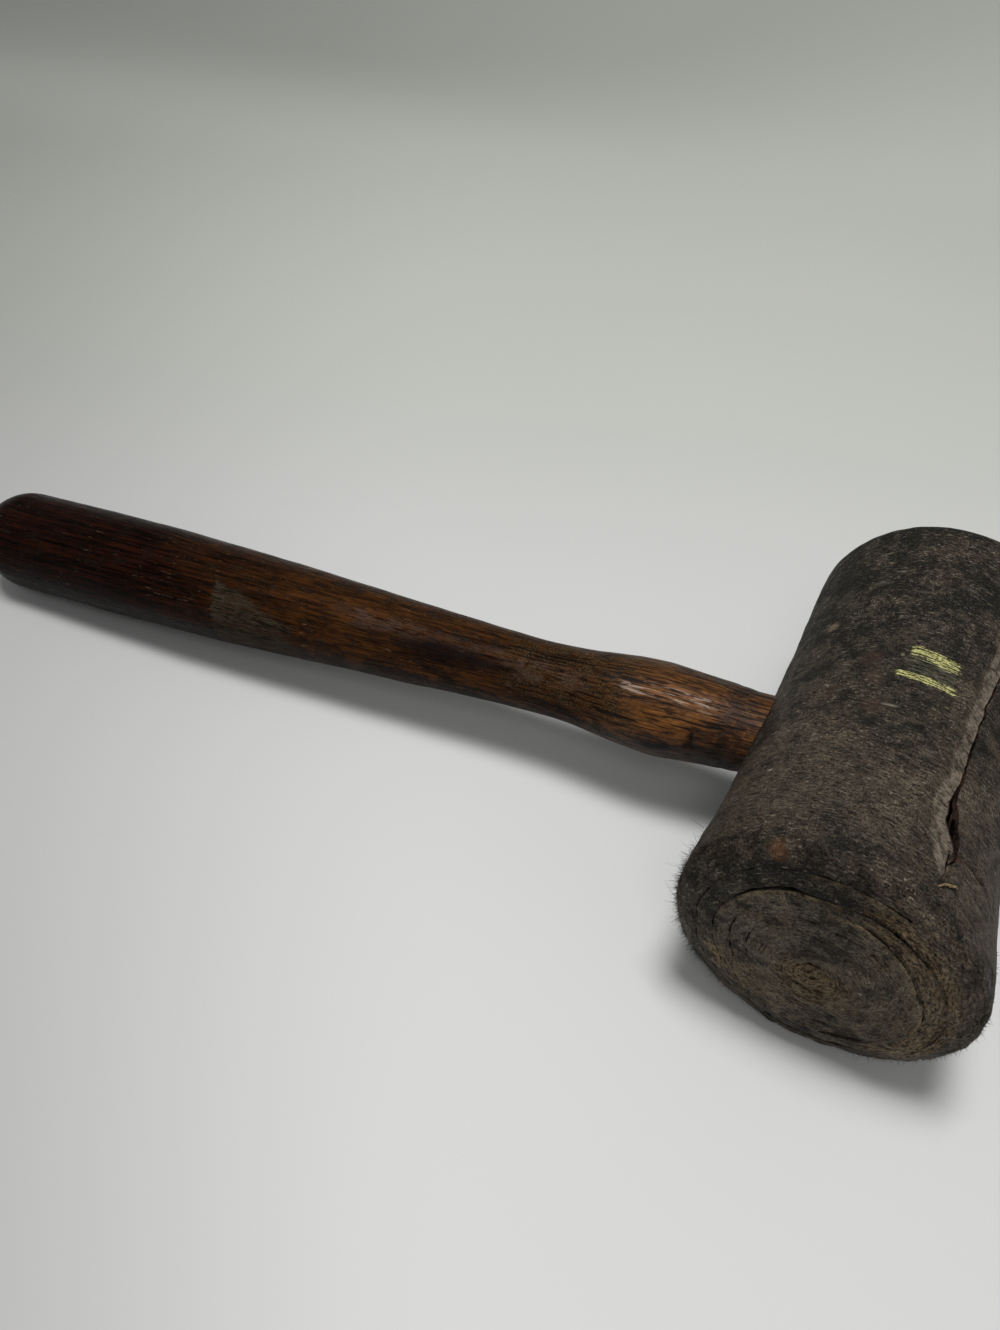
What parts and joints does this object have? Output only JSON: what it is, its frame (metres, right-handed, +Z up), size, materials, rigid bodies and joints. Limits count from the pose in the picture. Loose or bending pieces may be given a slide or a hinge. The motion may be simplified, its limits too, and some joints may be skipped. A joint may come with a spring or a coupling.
{
  "type": "rawhide mallet",
  "caption": "Old rawhide mallet: a head of tightly rolled hide with pounded rims on a turned, varnished wooden handle.",
  "frame": {"origin": "on the bench, under the middle of the object's bounding box, as the mallet lies at rest on its two rims and its grip", "axes": "+X from the butt of the handle towards the head, +Y level above the head's axis towards the far face (the axis dips 0.8 degrees), +Z up from the bench"},
  "size_m": [0.3588, 0.1416, 0.0772],
  "materials": {
    "handle_wood": "satin",
    "wedge_wood": "matte",
    "outer_hide": "matte",
    "inner_hide": "matte",
    "core_hide": "matte",
    "rusty_steel": "matte"
  },
  "bodies": {
    "root": {"handle": "handle_wood", "handle_wedge": "wedge_wood", "outer_wrap": "outer_hide", "inner_wrap": "inner_hide", "near_core_roll": "core_hide", "far_core_roll": "core_hide", "brads": "rusty_steel"}
  },
  "joints": []
}
